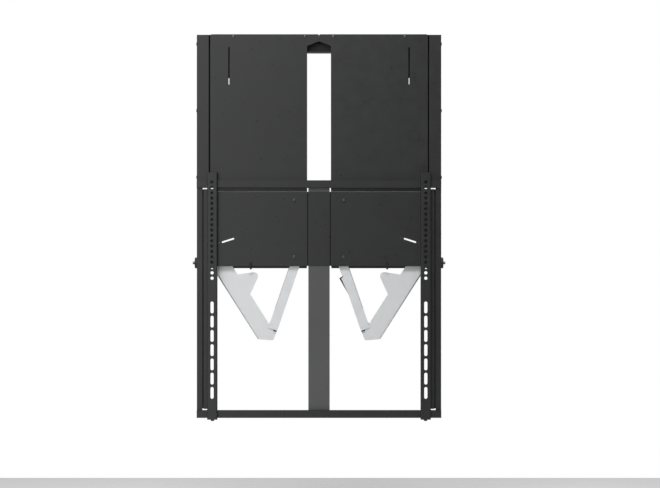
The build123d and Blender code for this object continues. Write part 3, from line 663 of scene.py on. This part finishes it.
def buildClampScrews(settings):
    for side in sides:
        low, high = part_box(side + "_lock_screw")
        centre = middle(side + "_lock_screw")
        radius = (high.x - low.x) / 2
        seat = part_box(side + "_upright")[0].z
        height = seat - low.z
        deselectAll()
        bpy.ops.mesh.primitive_cylinder_add(
            vertices=settings["sides"],
            radius=radius,
            depth=height,
            location=(centre.x, centre.y, low.z + height / 2),
        )
        screw = settle(named(side + "ClampScrew"))
        pick(screw, "FACE", lambda mesh, face: abs(face.normal.z) > looksAlong)
        bpy.ops.mesh.bevel(
            offset=settings["chamfer"], segments=settings["chamferSteps"], affect="EDGES"
        )
        pick(screw, "FACE", everySecondSide)
        bpy.ops.mesh.extrude_faces_move(TRANSFORM_OT_shrink_fatten={"value": -settings["groove"]})
        bpy.ops.object.mode_set(mode="OBJECT")
        cutSocket(screw, (centre.x, centre.y, low.z), settings)
        deselectAll()
        bpy.ops.mesh.primitive_cylinder_add(
            vertices=settings["shankSides"],
            radius=settings["shankRadius"],
            depth=high.z - seat,
            location=(centre.x, centre.y, (high.z + seat) / 2),
        )
        shank = settle(named("shank"))
        pickEdgesAbove(shank, (high.z + seat) / 2)
        bpy.ops.mesh.bevel(
            offset=settings["tipChamfer"], segments=settings["chamferSteps"], affect="EDGES"
        )
        bpy.ops.object.mode_set(mode="OBJECT")
        screw = joined(side + "ClampScrew", [screw, shank])
        smooth(screw)
        dress(screw, side + "_clamp", "black_screw", side + "_lock_screw")
    print("clamping screws set")


buildClampScrews(clampSettings)


# rivets at both ends of the sight slots
rivetSettings = {
    "slotCentre": (256.5 * mm, -250.9 * mm),
    "slotAngle": math.radians(17.7),
    "spread": 26 * mm,
    "radius": 2.2 * mm,
    "height": 1.1 * mm,
    "sides": 24,
    "rings": 12,
    "smoothAngle": 60,
}


def buildRivets(settings):
    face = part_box("bridge_plate")[0].y
    x, z = settings["slotCentre"]
    for side, sign in sides.items():
        heads = []
        for end in (-1, 1):
            deselectAll()
            bpy.ops.mesh.primitive_uv_sphere_add(
                segments=settings["sides"], ring_count=settings["rings"], radius=settings["radius"]
            )
            head = named("rivetHead")
            head.scale = (1, settings["height"] / settings["radius"], 1)
            runX = end * settings["spread"] * math.cos(settings["slotAngle"])
            runZ = end * settings["spread"] * math.sin(settings["slotAngle"])
            head.location = (sign * (x + runX), face, z - runZ)
            heads.append(settle(head))
        rivets = joined(side + "SightRivets", heads)
        smooth(rivets, settings["smoothAngle"])
        dress(rivets, "wall_unit", "black_screw")
    print("sight rivets set")


buildRivets(rivetSettings)


# rubber pads under the end lips of the links
padSettings = {
    "length": 10.5 * mm,
    "thickness": 3.6 * mm,
    "height": 5.4 * mm,
    "drop": 13.4 * mm,
    "shift": 7.6 * mm,
    "round": 0.8 * mm,
    "roundSteps": 3,
}


def buildPads(settings):
    for side, sign in sides.items():
        foot = middle(side + "_link_rivet")
        top = middle(side + "_link_pin")
        along = Vector((top.x - foot.x, 0, top.z - foot.z)).normalized()
        inner = Vector((-sign * along.z, 0, -abs(along.x)))
        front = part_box(side + "_link")[0].y
        deselectAll()
        bpy.ops.mesh.primitive_cube_add(size=1)
        pad = named(side + "LipPad")
        pad.scale = (settings["length"], settings["height"], settings["thickness"])
        settle(pad)
        pick(pad, "EDGE", lambda mesh, edge: True)
        bpy.ops.mesh.bevel(
            offset=settings["round"], segments=settings["roundSteps"], affect="EDGES"
        )
        bpy.ops.object.mode_set(mode="OBJECT")
        turn = Matrix((inner, inner.cross(along) * -1, along)).transposed().to_4x4()
        place = foot + inner * settings["shift"] - along * settings["drop"]
        place.y = front + settings["height"] / 2
        pad.data.transform(Matrix.Translation(place) @ turn)
        smooth(pad)
        dress(pad, side + "_link_arm", "black_plastic")
    print("lip pads set")


buildPads(padSettings)


# studio: pale floor, a surround that is white to the camera and dim as a light, a high key light
# in front, a weak broad light from the left and one from above
studioSettings = {
    "floorDrop": 0.42,
    "floorSize": 4.6,
    "floorColour": (0.9, 0.9, 0.9),
    "floorRoughness": 0.7,
    "surround": 0.16,
    "background": 1.0,
    "aim": (0, -0.06, -0.25),
    "lamps": {
        "keyLight": {"place": (-0.5, -7.2, 4.4), "size": 2.6, "power": 350},
        "frontLight": {"place": (-1.9, -6.4, 0.2), "size": 3.4, "power": 46},
        "topLight": {"place": (0.3, 0.5, 3.4), "size": 3.0, "power": 130},
    },
}
cameraSettings = {
    "place": (0.031, -6.095, -0.261),
    "lens": 116.6,
    "sensor": 36,
}


def buildStudio(settings):
    deselectAll()
    floorHeight = cadLow.z - settings["floorDrop"]
    bpy.ops.mesh.primitive_plane_add(size=settings["floorSize"], location=(0, 0, floorHeight))
    floor = named("floor")
    paint = Finish("paleFloor", settings["floorColour"], settings["floorRoughness"])
    floor.data.materials.append(paint.material)
    world = bpy.data.worlds.new("surround")
    world.use_nodes = True
    tree = world.node_tree
    shade = tree.nodes["Background"]
    rays = tree.nodes.new("ShaderNodeLightPath")
    share = tree.nodes.new("ShaderNodeMapRange")
    share.inputs["To Min"].default_value = settings["surround"]
    share.inputs["To Max"].default_value = settings["background"]
    tree.links.new(rays.outputs["Is Camera Ray"], share.inputs["Value"])
    tree.links.new(share.outputs["Result"], shade.inputs["Strength"])
    shade.inputs["Color"].default_value = (1, 1, 1, 1)
    bpy.context.scene.world = world
    for name, lamp in settings["lamps"].items():
        deselectAll()
        bpy.ops.object.light_add(type="AREA", location=lamp["place"])
        light = bpy.context.object
        light.name = name
        light.data.size = lamp["size"]
        light.data.energy = lamp["power"]
        way = Vector(settings["aim"]) - light.location
        light.rotation_euler = way.to_track_quat("-Z", "Y").to_euler()
    bpy.context.scene.view_settings.view_transform = "Standard"


def buildCamera(settings):
    deselectAll()
    bpy.ops.object.camera_add(location=settings["place"], rotation=(math.pi / 2, 0, 0))
    camera = bpy.context.object
    camera.name = "photoCamera"
    camera.data.lens = settings["lens"]
    camera.data.sensor_width = settings["sensor"]
    bpy.context.scene.camera = camera


buildStudio(studioSettings)
buildCamera(cameraSettings)
print("studio ready")
